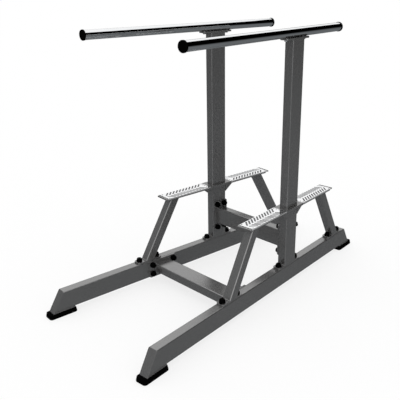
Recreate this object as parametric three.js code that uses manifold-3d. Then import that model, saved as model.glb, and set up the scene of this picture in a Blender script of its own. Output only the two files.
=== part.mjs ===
// A free-standing dip station.
// Two steel frames stand side by side and draw together towards the rear. Each one has a long
// rail on rubber feet, an upright that carries a chromed bar, and a step of two perforated
// planks. The planks rest on leaning legs and on a bracket round the upright. Two crossmembers
// bolt the frames together.
// Millimetres, +X to the right, +Y to the rear, +Z up, origin on the floor at the middle of
// the footprint.

import * as THREE from 'three';
import { mergeVertices } from 'three/addons/utils/BufferGeometryUtils.js';
import Module from 'manifold-3d';

const wasm = await Module();
wasm.setup();

// Stance: half the distance between the uprights, and how far each frame turns inwards
const FRAME_REACH = 270;
const TOE_DEGREES = 5;

// Fits: the gap under a seated piece, the play round a bolt, and the overrun of every cut
const SEAT_GAP = 0.3;
const BOLT_PLAY = 0.6;
const OVERRUN = 2;

// Rectangular tube of the rails, uprights and crossmembers
const TUBE_DEPTH = 100;
const TUBE_WIDTH = 50;
const TUBE_WALL = 3;
const TUBE_CORNER = 6;

// Rails, measured at half height from the upright's centre line, and the pads welded under their ends
const RAIL_FRONT_REACH = 1060;
const RAIL_REAR_REACH = 650;
const RAIL_END_LEAN = 60;
const PAD_THICKNESS = 6;
const PAD_INSET = 9;

// Rubber feet under the pads
const FOOT_LENGTH = 150;
const FOOT_WIDTH = 64;
const FOOT_HEIGHT = 24;
const FOOT_FRONT_OVERHANG = 25;
const FOOT_REAR_OVERHANG = 37;
const FOOT_TAPER = 3;
const FOOT_CORNER = 14;
const FOOT_LIP = 5;

// Bars
const BAR_DIAMETER = 45;
const BAR_WALL = 2.5;
const BAR_FRONT_REACH = 791;
const BAR_REAR_REACH = 422;
const BAR_AXIS_HEIGHT = 1363.5;

// Plastic end caps of the bars
const CAP_DIAMETER = 50;
const CAP_LENGTH = 10;
const CAP_ROUND = 4;
const PLUG_LENGTH = 30;

// Welded plates: those of the uprights also carry the bars
const PLATE_THICKNESS = 8;
const PLATE_CORNER = 14;
const UPRIGHT_PLATE_LENGTH = 200;
const UPRIGHT_BOLT_REACH = 79;
const LEG_PLATE_LENGTH = 156;
const LEG_BOLT_REACH = 57;
const VENT_DIAMETER = 20;

// Crossmembers and their welded end flanges
const FRONT_CROSS_REACH = 428;
const REAR_CROSS_HEIGHT = 275;
const FLANGE_LENGTH = 180;
const FLANGE_WIDTH = 99;
const FLANGE_CORNER = 8;
const FLANGE_BOLT_REACH = 71;
const FLANGE_BOLT_SIDE_REACH = 26.5;

// Steps: flat hollow planks, perforated on top and closed below
const STEP_HEIGHT = 472;
const PLANK_OUTER_REACH = 394;
const PLANK_INNER_REACH = 80;
const PLANK_WIDTH = 86;
const PLANK_DEPTH = 13;
const PLANK_SHEET = 2.5;
const PLANK_BASE_THICKNESS = 3;
const PLANK_CORNER = 4;

// Perforation: slanted slots in pairs that form arrowheads, and square holes at the ends
const SLOT_PITCH = 22.5;
const SLOT_WIDTH = 7;
const SLOT_INNER_REACH = 7.5;
const SLOT_OUTER_REACH = 35.5;
const SLOT_START = 36;
const SLOT_MARGIN = 20;
const HOLE_SIZE = 5.5;
const HOLE_MARGIN = 9.5;
const HOLE_EDGE = 8;
const HOLE_COUNT = 5;

// Step legs of square tube, closed at the top by a plate
const LEG_SIZE = 50;
const LEG_REACH = 505;
const LEG_LEAN_DEGREES = 30;
const LEG_HEAD_THICKNESS = 5;

// Step brackets: a plate round the upright with gussets under it
const GUSSET_REACH = 106;
const GUSSET_HEIGHT = 47;
const GUSSET_TIP = 5;
const GUSSET_THICKNESS = 5;
const BRACKET_CORNER = 3;

// Black capped bolts with a nut inside the tube
const BOLT_CAP_DIAMETER = 33;
const BOLT_CAP_TOP = 20;
const BOLT_CAP_HEIGHT = 19;
const BOLT_CAP_SKIRT = 4;
const BOLT_DIAMETER = 10;
const NUT_DIAMETER = 18;
const NUT_HEIGHT = 7;

// Bright hexagon bolts that hold the bars from below
const HEX_DIAMETER = 19;
const HEX_HEIGHT = 7;
const HEX_REACH = 77;
const HEX_STICK_OUT = 6;

// Corners and circles are made of short straight steps
const CORNER_STEPS = 2;
const CIRCLE_STEPS = 12;
const HOLE_STEPS = 8;
const BAR_STEPS = 24;
const SLOT_END_STEPS = 3;
const HEX_SIDES = 6;

// Heights and angles that follow from the sizes above
const TOE = THREE.MathUtils.degToRad(TOE_DEGREES);
const LEG_LEAN = THREE.MathUtils.degToRad(LEG_LEAN_DEGREES);
const RAIL_BOTTOM = FOOT_HEIGHT + PAD_THICKNESS;
const RAIL_TOP = RAIL_BOTTOM + TUBE_DEPTH;
const RAIL_MIDDLE = RAIL_BOTTOM + TUBE_DEPTH / 2;
const FOOT_FRONT_REACH = RAIL_FRONT_REACH + RAIL_END_LEAN / 2 + FOOT_FRONT_OVERHANG;
const FOOT_REAR_REACH = RAIL_REAR_REACH + RAIL_END_LEAN / 2 + FOOT_REAR_OVERHANG;
const DECK = RAIL_TOP + SEAT_GAP;
const BAR_SEAT = BAR_AXIS_HEIGHT - BAR_DIAMETER / 2 - SEAT_GAP;
const PLANK_BOTTOM = STEP_HEIGHT - PLANK_DEPTH;
const INNER_FACE = TUBE_WIDTH / 2 + SEAT_GAP;

const POWDER_COAT = { color: 0x4b4b4d, roughness: 0.42, metalness: 0.25 };
const GALVANISED = { color: 0xc9cbcd, roughness: 0.34, metalness: 0.85 };
const CHROME = { color: 0xd4d8dc, roughness: 0.07, metalness: 1 };
const RUBBER = { color: 0x0b0b0c, roughness: 0.8, metalness: 0 };
const BLACK_PLASTIC = { color: 0x080808, roughness: 0.45, metalness: 0 };
const BRIGHT_STEEL = { color: 0xb9bcc0, roughness: 0.28, metalness: 1 };

// Outlines

function arc(x, y, radius, from, to, steps) {
  const points = [];
  for (let i = 0; i <= steps; i += 1) {
    const angle = from + (to - from) * i / steps;
    points.push(new THREE.Vector2(x + radius * Math.cos(angle), y + radius * Math.sin(angle)));
  }
  return points;
}

function roundedRectangle(width, height, radius) {
  const quarter = Math.PI / 2;
  const x = width / 2 - radius;
  const y = height / 2 - radius;
  return [
    ...arc(x, y, radius, 0, quarter, CORNER_STEPS),
    ...arc(-x, y, radius, quarter, 2 * quarter, CORNER_STEPS),
    ...arc(-x, -y, radius, 2 * quarter, 3 * quarter, CORNER_STEPS),
    ...arc(x, -y, radius, 3 * quarter, 4 * quarter, CORNER_STEPS),
  ];
}

function circle(x, y, radius, steps = CIRCLE_STEPS) {
  return arc(x, y, radius, 0, 2 * Math.PI, steps).slice(0, steps);
}

function square(x, y, size) {
  return [
    new THREE.Vector2(x - size / 2, y - size / 2),
    new THREE.Vector2(x + size / 2, y - size / 2),
    new THREE.Vector2(x + size / 2, y + size / 2),
    new THREE.Vector2(x - size / 2, y + size / 2),
  ];
}

// A slot with round ends that runs between two points
function slot(start, end, width) {
  const heading = Math.atan2(end.y - start.y, end.x - start.x);
  const quarter = Math.PI / 2;
  return [
    ...arc(end.x, end.y, width / 2, heading - quarter, heading + quarter, SLOT_END_STEPS),
    ...arc(start.x, start.y, width / 2, heading + quarter, heading + 3 * quarter, SLOT_END_STEPS),
  ];
}

// Solids

function extrude(outline, holes, depth) {
  const shape = new THREE.Shape(outline);
  for (const hole of holes) {
    shape.holes.push(new THREE.Path(hole));
  }
  return new THREE.ExtrudeGeometry(shape, { depth, bevelEnabled: false });
}

// The turn that stands an outline drawn along and up on a plane across X
const SIDEWAYS = new THREE.Matrix4().makeBasis(
  new THREE.Vector3(0, 1, 0), new THREE.Vector3(0, 0, 1), new THREE.Vector3(1, 0, 0));

function solid(geometry) {
  geometry.deleteAttribute('normal');
  geometry.deleteAttribute('uv');
  const merged = mergeVertices(geometry);
  const corners = merged.index.array;
  const triangles = [];
  for (let i = 0; i < corners.length; i += 3) {
    const [a, b, c] = corners.slice(i, i + 3);
    if (a !== b && b !== c && c !== a) {
      triangles.push(a, b, c);
    }
  }
  const vertProperties = new Float32Array(merged.attributes.position.array);
  const triVerts = new Uint32Array(triangles);
  return new wasm.Manifold(new wasm.Mesh({ numProp: 3, vertProperties, triVerts }));
}

function geometryOf(body) {
  const mesh = body.getMesh();
  const geometry = new THREE.BufferGeometry();
  geometry.setAttribute('position', new THREE.BufferAttribute(mesh.vertProperties, 3));
  geometry.setIndex(new THREE.BufferAttribute(mesh.triVerts, 1));
  geometry.computeVertexNormals();
  return geometry;
}

// A bar of the given outline along +Y, from its start to its end
function along(outline, start, end) {
  return extrude(outline, [], end - start).rotateX(Math.PI / 2).translate(0, end, 0);
}

// A round cutter along Z, centred on a point
function drillDown(radius, length, x, y, z) {
  const cutter = extrude(circle(0, 0, radius, HOLE_STEPS), [], length);
  return solid(cutter.translate(x, y, z - length / 2));
}

// A round cutter along X, centred on a point
function drillAcross(radius, length, x, y, z) {
  const cutter = extrude(circle(0, 0, radius, HOLE_STEPS), [], length);
  cutter.translate(0, 0, -length / 2).rotateY(Math.PI / 2);
  return solid(cutter.translate(x, y, z));
}

const BOLT_HOLE = BOLT_DIAMETER / 2 + BOLT_PLAY;
const WALL_CUT = TUBE_WALL + 2 * OVERRUN;

// Where a face of a turned frame, a given distance inside its centre plane, crosses a given Y
function alongAt(y, inwards) {
  return (y + Math.sin(TOE) * inwards) / Math.cos(TOE);
}

const FRONT_CROSS_ALONG = alongAt(-FRONT_CROSS_REACH, INNER_FACE + PLATE_THICKNESS / 2);
const REAR_CROSS_ALONG = alongAt(0, INNER_FACE + PLATE_THICKNESS / 2);

// The four bolts of a crossmember flange, as places on the face of the rail or upright
function flangeBolts(centreAlong, centreHeight, reachAlong, reachHeight) {
  const places = [];
  for (const y of [-reachAlong, reachAlong]) {
    for (const z of [reachHeight, -reachHeight]) {
      places.push({ y: centreAlong + y, z: centreHeight + z });
    }
  }
  return places;
}

const FRONT_FLANGE_BOLTS = flangeBolts(
  FRONT_CROSS_ALONG, RAIL_MIDDLE, FLANGE_BOLT_REACH, FLANGE_BOLT_SIDE_REACH);
const REAR_FLANGE_BOLTS = flangeBolts(
  REAR_CROSS_ALONG, REAR_CROSS_HEIGHT, FLANGE_BOLT_SIDE_REACH, FLANGE_BOLT_REACH);
const UPRIGHT_BOLTS = [-UPRIGHT_BOLT_REACH, UPRIGHT_BOLT_REACH];
const LEG_BOLTS = [-LEG_BOLT_REACH, LEG_BOLT_REACH];

// Pieces of one frame. Its local X runs across it and its local Y along it.

// How far a rail's end stands out at a height: both ends lean back to a longer bottom edge
function railEndAt(reach, height) {
  return reach - RAIL_END_LEAN * (height / TUBE_DEPTH - 1 / 2);
}

// A rail's side view, drawn in by an inset
function railProfile(inset) {
  const endInset = inset * Math.hypot(1, RAIL_END_LEAN / TUBE_DEPTH);
  const low = inset;
  const high = TUBE_DEPTH - inset;
  const outline = [
    new THREE.Vector2(endInset - railEndAt(RAIL_FRONT_REACH, low), low),
    new THREE.Vector2(railEndAt(RAIL_REAR_REACH, low) - endInset, low),
    new THREE.Vector2(railEndAt(RAIL_REAR_REACH, high) - endInset, high),
    new THREE.Vector2(endInset - railEndAt(RAIL_FRONT_REACH, high), high),
  ];
  const prism = extrude(outline, [], TUBE_WIDTH + 2 * OVERRUN).applyMatrix4(SIDEWAYS);
  return solid(prism.translate(-TUBE_WIDTH / 2 - OVERRUN, 0, RAIL_BOTTOM));
}

function railTube(inset) {
  const outline = roundedRectangle(
    TUBE_WIDTH - 2 * inset, TUBE_DEPTH - 2 * inset, TUBE_CORNER - inset);
  const start = -RAIL_FRONT_REACH - RAIL_END_LEAN;
  const end = RAIL_REAR_REACH + RAIL_END_LEAN;
  const tube = along(outline, start, end).translate(0, 0, RAIL_MIDDLE);
  return solid(tube).intersect(railProfile(inset));
}

// The pad under a rail's end. Its outer end follows the rail's lean.
function railPad(way, railReach, footReach) {
  const low = -PAD_THICKNESS;
  const high = TUBE_WALL / 2;
  const innerEnd = footReach - FOOT_LENGTH + PAD_INSET;
  const profile = [
    new THREE.Vector2(way * innerEnd, low),
    new THREE.Vector2(way * railEndAt(railReach, low), low),
    new THREE.Vector2(way * railEndAt(railReach, high), high),
    new THREE.Vector2(way * innerEnd, high),
  ];
  const pad = extrude(profile, [], TUBE_WIDTH).applyMatrix4(SIDEWAYS);
  return solid(pad.translate(-TUBE_WIDTH / 2, 0, RAIL_BOTTOM));
}

function rail(inner) {
  let body = railTube(0).subtract(railTube(TUBE_WALL));
  body = body.add(railPad(-1, RAIL_FRONT_REACH, FOOT_FRONT_REACH));
  body = body.add(railPad(1, RAIL_REAR_REACH, FOOT_REAR_REACH));
  for (const y of UPRIGHT_BOLTS) {
    body = body.subtract(drillDown(BOLT_HOLE, WALL_CUT, 0, y, RAIL_TOP - TUBE_WALL / 2));
  }
  for (const centre of [-LEG_REACH, LEG_REACH]) {
    for (const y of LEG_BOLTS) {
      const height = RAIL_TOP - TUBE_WALL / 2;
      body = body.subtract(drillDown(BOLT_HOLE, WALL_CUT, 0, centre + y, height));
    }
  }
  const wall = inner * (TUBE_WIDTH - TUBE_WALL) / 2;
  for (const { y, z } of FRONT_FLANGE_BOLTS) {
    body = body.subtract(drillAcross(BOLT_HOLE, WALL_CUT, wall, y, z));
  }
  return geometryOf(body);
}

// A foot: a block with a wide base that draws in above a short upright lip
function foot() {
  const rings = [
    { draw: 0, height: 0 },
    { draw: 0, height: FOOT_LIP },
    { draw: FOOT_TAPER, height: FOOT_HEIGHT - SEAT_GAP },
  ];
  const positions = [];
  for (const { draw, height } of rings) {
    const outline = roundedRectangle(
      FOOT_WIDTH - 2 * draw, FOOT_LENGTH - 2 * draw, FOOT_CORNER - draw / 2);
    for (const point of outline) {
      positions.push(point.x, point.y, height);
    }
  }
  const count = positions.length / 3 / rings.length;
  const triangles = [];
  for (let ring = 0; ring < rings.length - 1; ring += 1) {
    for (let i = 0; i < count; i += 1) {
      const a = ring * count + i;
      const b = ring * count + (i + 1) % count;
      triangles.push(a, b, b + count, a, b + count, a + count);
    }
  }
  const top = (rings.length - 1) * count;
  for (let i = 1; i < count - 1; i += 1) {
    triangles.push(0, i + 1, i);
    triangles.push(top, top + i, top + i + 1);
  }
  const geometry = new THREE.BufferGeometry();
  geometry.setAttribute('position', new THREE.Float32BufferAttribute(positions, 3));
  geometry.setIndex(triangles);
  geometry.computeVertexNormals();
  return geometry;
}

// A welded plate with round corners, two bolt holes and perhaps a vent, its underside at z
function plate(length, boltReach, vented, z) {
  const outline = roundedRectangle(TUBE_WIDTH, length, PLATE_CORNER);
  const holes = [];
  for (const y of [-boltReach, boltReach]) {
    holes.push(circle(0, y, BOLT_HOLE, HOLE_STEPS));
  }
  if (vented) {
    holes.push(circle(0, 0, VENT_DIAMETER / 2));
  }
  return solid(extrude(outline, holes, PLATE_THICKNESS).translate(0, 0, z));
}

function upright(inner) {
  const low = DECK + PLATE_THICKNESS / 2;
  const high = BAR_SEAT - PLATE_THICKNESS / 2;
  const outline = roundedRectangle(TUBE_WIDTH, TUBE_DEPTH, TUBE_CORNER);
  const hollow = roundedRectangle(
    TUBE_WIDTH - 2 * TUBE_WALL, TUBE_DEPTH - 2 * TUBE_WALL, TUBE_CORNER - TUBE_WALL);
  let body = solid(extrude(outline, [hollow], high - low).translate(0, 0, low));
  body = body.add(plate(UPRIGHT_PLATE_LENGTH, UPRIGHT_BOLT_REACH, true, DECK));
  body = body.add(plate(UPRIGHT_PLATE_LENGTH, HEX_REACH, false, BAR_SEAT - PLATE_THICKNESS));
  const wall = inner * (TUBE_WIDTH - TUBE_WALL) / 2;
  for (const { y, z } of REAR_FLANGE_BOLTS) {
    body = body.subtract(drillAcross(BOLT_HOLE, WALL_CUT, wall, y, z));
  }
  return geometryOf(body);
}

// A leg of the front step. It leans towards the upright, and the rear one is the same, turned.
function leg() {
  const low = DECK + PLATE_THICKNESS / 2;
  const high = PLANK_BOTTOM - SEAT_GAP - LEG_HEAD_THICKNESS / 2;
  const outline = roundedRectangle(LEG_SIZE, LEG_SIZE, TUBE_CORNER);
  const inside = LEG_SIZE - 2 * TUBE_WALL;
  const hollow = roundedRectangle(inside, inside, TUBE_CORNER - TUBE_WALL);
  const length = (high - low) / Math.cos(LEG_LEAN) + 2 * LEG_SIZE;
  const tube = extrude(outline, [hollow], length).translate(0, 0, -LEG_SIZE);
  tube.rotateX(-LEG_LEAN).translate(0, -LEG_REACH, low);
  const reach = LEG_REACH + 2 * LEG_SIZE;
  const slabOutline = roundedRectangle(2 * LEG_SIZE, 2 * reach, TUBE_CORNER);
  const slab = solid(extrude(slabOutline, [], high - low).translate(0, 0, low));
  const footPlate = plate(LEG_PLATE_LENGTH, LEG_BOLT_REACH, true, DECK);
  const headOutline = roundedRectangle(LEG_SIZE, LEG_SIZE / Math.cos(LEG_LEAN), TUBE_CORNER);
  const headAlong = -LEG_REACH + (high - low) * Math.tan(LEG_LEAN);
  const headHeight = high - LEG_HEAD_THICKNESS / 2;
  const head = extrude(headOutline, [], LEG_HEAD_THICKNESS).translate(0, headAlong, headHeight);
  const body = solid(tube).intersect(slab);
  return geometryOf(body.add(footPlate.translate(0, -LEG_REACH, 0)).add(solid(head)));
}

// A plank of the front step: hollow, with slots and holes through its top sheet alone
function plank() {
  const length = PLANK_OUTER_REACH - PLANK_INNER_REACH - SEAT_GAP;
  const middle = -(PLANK_OUTER_REACH + PLANK_INNER_REACH + SEAT_GAP) / 2;
  const outerEnd = -length / 2;
  const innerEnd = length / 2;
  const run = SLOT_OUTER_REACH - SLOT_INNER_REACH;
  const holes = [];
  const pairs = 1 + Math.floor((length - SLOT_START - SLOT_MARGIN - run) / SLOT_PITCH);
  for (let i = 0; i < pairs; i += 1) {
    const y = outerEnd + SLOT_START + i * SLOT_PITCH;
    for (const side of [-1, 1]) {
      const start = new THREE.Vector2(side * SLOT_INNER_REACH, y);
      const end = new THREE.Vector2(side * SLOT_OUTER_REACH, y + run);
      holes.push(slot(start, end, SLOT_WIDTH));
    }
  }
  const span = PLANK_WIDTH - 2 * HOLE_EDGE;
  for (let i = 0; i < HOLE_COUNT; i += 1) {
    const x = -span / 2 + span * i / (HOLE_COUNT - 1);
    holes.push(square(x, outerEnd + HOLE_MARGIN, HOLE_SIZE));
    holes.push(square(x, innerEnd - HOLE_MARGIN, HOLE_SIZE));
  }
  for (const x of [-span / 2, span / 2]) {
    holes.push(square(x, outerEnd + HOLE_MARGIN + span / (HOLE_COUNT - 1), HOLE_SIZE));
  }
  const outline = roundedRectangle(PLANK_WIDTH, length, PLANK_CORNER);
  const inside = roundedRectangle(
    PLANK_WIDTH - 2 * PLANK_SHEET, length - 2 * PLANK_SHEET, PLANK_CORNER - PLANK_SHEET);
  const hollow = extrude(inside, [], PLANK_DEPTH - PLANK_SHEET - PLANK_BASE_THICKNESS);
  let body = solid(extrude(outline, [], PLANK_DEPTH));
  body = body.subtract(solid(hollow.translate(0, 0, PLANK_BASE_THICKNESS)));
  for (const hole of holes) {
    const cutter = extrude(hole, [], PLANK_SHEET + 2 * OVERRUN);
    body = body.subtract(solid(cutter.translate(0, 0, PLANK_DEPTH - PLANK_SHEET - OVERRUN)));
  }
  return geometryOf(body.translate(0, middle, PLANK_BOTTOM));
}

// The bracket: a plate level with the planks, and a pair of gussets at each face of the upright
function stepBracket() {
  const reach = PLANK_INNER_REACH;
  const underside = PLANK_BOTTOM - SEAT_GAP;
  const outline = roundedRectangle(PLANK_WIDTH, 2 * reach, BRACKET_CORNER);
  const opening = roundedRectangle(
    TUBE_WIDTH + 2 * SEAT_GAP, TUBE_DEPTH + 2 * SEAT_GAP, TUBE_CORNER + SEAT_GAP);
  const deck = extrude(outline, [opening], STEP_HEIGHT - underside).translate(0, 0, underside);
  let body = solid(deck);
  const face = TUBE_DEPTH / 2 + SEAT_GAP;
  const upper = (STEP_HEIGHT + underside) / 2;
  const profile = [
    new THREE.Vector2(face, upper),
    new THREE.Vector2(face, underside - GUSSET_HEIGHT),
    new THREE.Vector2(GUSSET_REACH, underside - GUSSET_TIP),
    new THREE.Vector2(GUSSET_REACH, underside),
    new THREE.Vector2(reach - BRACKET_CORNER, underside),
    new THREE.Vector2(reach - BRACKET_CORNER, upper),
  ];
  for (const turn of [0, Math.PI]) {
    for (const x of [-TUBE_WIDTH / 2, TUBE_WIDTH / 2 - GUSSET_THICKNESS]) {
      const gusset = extrude(profile, [], GUSSET_THICKNESS).applyMatrix4(SIDEWAYS);
      body = body.add(solid(gusset.translate(x, 0, 0).rotateZ(turn)));
    }
  }
  return geometryOf(body);
}

function bar() {
  const radius = BAR_DIAMETER / 2;
  const outer = solid(along(circle(0, 0, radius, BAR_STEPS), -BAR_FRONT_REACH, BAR_REAR_REACH));
  const bore = solid(along(circle(0, 0, radius - BAR_WALL, BAR_STEPS),
    -BAR_FRONT_REACH - OVERRUN, BAR_REAR_REACH + OVERRUN));
  let body = outer.subtract(bore);
  const wall = -radius + BAR_WALL / 2;
  for (const y of [-HEX_REACH, HEX_REACH]) {
    body = body.subtract(drillDown(BOLT_HOLE, BAR_WALL + 2 * OVERRUN, 0, y, wall));
  }
  return geometryOf(body);
}

// A cap, with its plug along +Y into the bar and its rounded head on the other side
function barCap() {
  const head = CAP_DIAMETER / 2;
  const plug = BAR_DIAMETER / 2 - BAR_WALL - SEAT_GAP;
  const profile = [
    new THREE.Vector2(0, -CAP_LENGTH),
    ...arc(head - CAP_ROUND, -CAP_LENGTH + CAP_ROUND, CAP_ROUND, -Math.PI / 2, 0, CORNER_STEPS),
    new THREE.Vector2(head, -SEAT_GAP),
    new THREE.Vector2(plug, -SEAT_GAP),
    new THREE.Vector2(plug, PLUG_LENGTH),
    new THREE.Vector2(0, PLUG_LENGTH),
  ];
  return geometryOf(solid(new THREE.LatheGeometry(profile, BAR_STEPS)));
}

// A hexagon prism along Z between two heights
function hexagon(diameter, low, high) {
  return solid(extrude(circle(0, 0, diameter / 2, HEX_SIDES), [], high - low).translate(0, 0, low));
}

// A bolt along Z: a tapered cap above z = 0, the shank through the plate and wall, and the nut
function cappedBolt() {
  const profile = [
    new THREE.Vector2(0, SEAT_GAP),
    new THREE.Vector2(BOLT_CAP_DIAMETER / 2, SEAT_GAP),
    new THREE.Vector2(BOLT_CAP_DIAMETER / 2, BOLT_CAP_SKIRT),
    new THREE.Vector2(BOLT_CAP_TOP / 2, BOLT_CAP_HEIGHT),
    new THREE.Vector2(0, BOLT_CAP_HEIGHT),
  ];
  const cap = solid(new THREE.LatheGeometry(profile, CIRCLE_STEPS).rotateX(Math.PI / 2));
  const inside = -PLATE_THICKNESS - SEAT_GAP - TUBE_WALL - SEAT_GAP;
  const shank = hexagon(BOLT_DIAMETER, inside - NUT_HEIGHT / 2, BOLT_CAP_SKIRT);
  const nut = hexagon(NUT_DIAMETER, inside - NUT_HEIGHT, inside);
  return geometryOf(cap.add(shank).add(nut));
}

// A bolt along Z whose head lies above z = 0 and whose shank reaches into the bar
function hexBolt() {
  const end = -PLATE_THICKNESS - SEAT_GAP - BAR_WALL - HEX_STICK_OUT;
  const head = hexagon(HEX_DIAMETER, SEAT_GAP, HEX_HEIGHT);
  return geometryOf(head.add(hexagon(BOLT_DIAMETER, end, HEX_HEIGHT / 2)));
}

// A crossmember: tube between the frames, with flanges turned to lie flat on their inner faces
function crossmember(depth, height, alongCentre, y, z, flangeAlong, flangeHeight, bolts) {
  const mid = INNER_FACE + PLATE_THICKNESS / 2;
  const reach = TUBE_DEPTH;
  const corner = (side, offset) => {
    const local = new THREE.Vector2(-side * mid, alongCentre + offset);
    local.rotateAround(new THREE.Vector2(), side * TOE);
    return local.add(new THREE.Vector2(side * FRAME_REACH, 0));
  };
  const plan = [corner(-1, -reach), corner(1, -reach), corner(1, reach), corner(-1, reach)];
  const between = solid(extrude(plan, [], 2 * TUBE_DEPTH).translate(0, 0, z - TUBE_DEPTH));
  const tubeAcross = (inset) => {
    const outline = roundedRectangle(
      depth - 2 * inset, height - 2 * inset, TUBE_CORNER - inset);
    const tube = along(outline, -FRAME_REACH - TUBE_DEPTH, FRAME_REACH + TUBE_DEPTH);
    return solid(tube.rotateZ(-Math.PI / 2).translate(0, y, z));
  };
  let body = tubeAcross(0).intersect(between).subtract(tubeAcross(TUBE_WALL));
  const holes = [circle(alongCentre, z, VENT_DIAMETER / 2)];
  for (const bolt of bolts) {
    holes.push(circle(bolt.y, bolt.z, BOLT_HOLE, HOLE_STEPS));
  }
  const outline = roundedRectangle(flangeAlong, flangeHeight, FLANGE_CORNER);
  outline.forEach((point) => point.add(new THREE.Vector2(alongCentre, z)));
  for (const side of [-1, 1]) {
    const flange = extrude(outline, holes, PLATE_THICKNESS).applyMatrix4(SIDEWAYS);
    flange.translate(-side * mid - PLATE_THICKNESS / 2, 0, 0);
    flange.rotateZ(side * TOE).translate(side * FRAME_REACH, 0, 0);
    body = body.add(solid(flange));
  }
  return geometryOf(body);
}

// The assembly

const station = new THREE.Group();
const assembly = new THREE.Group();
station.add(assembly);

function add(parent, name, geometry, finish) {
  const mesh = new THREE.Mesh(geometry, new THREE.MeshStandardMaterial(finish));
  mesh.name = name;
  parent.add(mesh);
  return mesh;
}

const ENDS = [
  { end: 'front', way: -1, turn: 0 },
  { end: 'rear', way: 1, turn: Math.PI },
];

for (const { side, word } of [{ side: -1, word: 'left' }, { side: 1, word: 'right' }]) {
  const frame = new THREE.Group();
  frame.position.x = side * FRAME_REACH;
  frame.rotation.z = side * TOE;
  assembly.add(frame);
  const inner = -side;

  add(frame, `rail_${word}`, rail(inner), POWDER_COAT);
  add(frame, `upright_${word}`, upright(inner), POWDER_COAT);
  add(frame, `step_bracket_${word}`, stepBracket(), POWDER_COAT);
  add(frame, `bar_${word}`, bar(), CHROME).position.z = BAR_AXIS_HEIGHT;

  const barEnds = { front: -BAR_FRONT_REACH, rear: BAR_REAR_REACH };
  const footEnds = { front: FOOT_FRONT_REACH, rear: FOOT_REAR_REACH };
  for (const { end, way, turn } of ENDS) {
    add(frame, `leg_${end}_${word}`, leg(), POWDER_COAT).rotation.z = turn;
    add(frame, `plank_${end}_${word}`, plank(), GALVANISED).rotation.z = turn;

    const cap = add(frame, `bar_cap_${end}_${word}`, barCap(), BLACK_PLASTIC);
    cap.position.set(0, barEnds[end], BAR_AXIS_HEIGHT);
    cap.rotation.z = turn;

    const footReach = footEnds[end] - FOOT_LENGTH / 2;
    add(frame, `foot_${end}_${word}`, foot(), RUBBER).position.y = way * footReach;

    const uprightBolt = add(frame, `upright_bolt_${end}_${word}`, cappedBolt(), BLACK_PLASTIC);
    uprightBolt.position.set(0, way * UPRIGHT_BOLT_REACH, DECK + PLATE_THICKNESS);

    LEG_BOLTS.forEach((reach, i) => {
      const name = `leg_${end}_bolt_${i + 1}_${word}`;
      const bolt = add(frame, name, cappedBolt(), BLACK_PLASTIC);
      bolt.position.set(0, way * LEG_REACH + reach, DECK + PLATE_THICKNESS);
    });

    const barBolt = add(frame, `bar_bolt_${end}_${word}`, hexBolt(), BRIGHT_STEEL);
    barBolt.position.set(0, way * HEX_REACH, BAR_SEAT - PLATE_THICKNESS);
    barBolt.rotation.x = Math.PI;
  }

  const flanges = { front: FRONT_FLANGE_BOLTS, rear: REAR_FLANGE_BOLTS };
  for (const { end } of ENDS) {
    flanges[end].forEach(({ y, z }, i) => {
      const name = `crossmember_${end}_bolt_${i + 1}_${word}`;
      const bolt = add(frame, name, cappedBolt(), BLACK_PLASTIC);
      bolt.position.set(inner * (INNER_FACE + PLATE_THICKNESS), y, z);
      bolt.rotation.y = inner * Math.PI / 2;
    });
  }
}

const frontCrossmember = crossmember(
  TUBE_DEPTH, TUBE_WIDTH, FRONT_CROSS_ALONG, -FRONT_CROSS_REACH, RAIL_MIDDLE,
  FLANGE_LENGTH, FLANGE_WIDTH, FRONT_FLANGE_BOLTS);
const rearCrossmember = crossmember(
  TUBE_WIDTH, TUBE_DEPTH, REAR_CROSS_ALONG, 0, REAR_CROSS_HEIGHT,
  FLANGE_WIDTH, FLANGE_LENGTH, REAR_FLANGE_BOLTS);
add(assembly, 'crossmember_front', frontCrossmember, POWDER_COAT);
add(assembly, 'crossmember_rear', rearCrossmember, POWDER_COAT);

// The footprint is centred on the origin from front to rear
station.updateMatrixWorld(true);
const extent = new THREE.Box3().setFromObject(assembly, true);
assembly.position.y = -(extent.min.y + extent.max.y) / 2;

export default station;
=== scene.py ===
# A free-standing dip station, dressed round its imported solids.
# Metres, +X to the right, +Y to the rear, +Z up. The sections follow the order of assembly, from
# the feet on the floor to the bars, and the studio comes last.

import math

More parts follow.
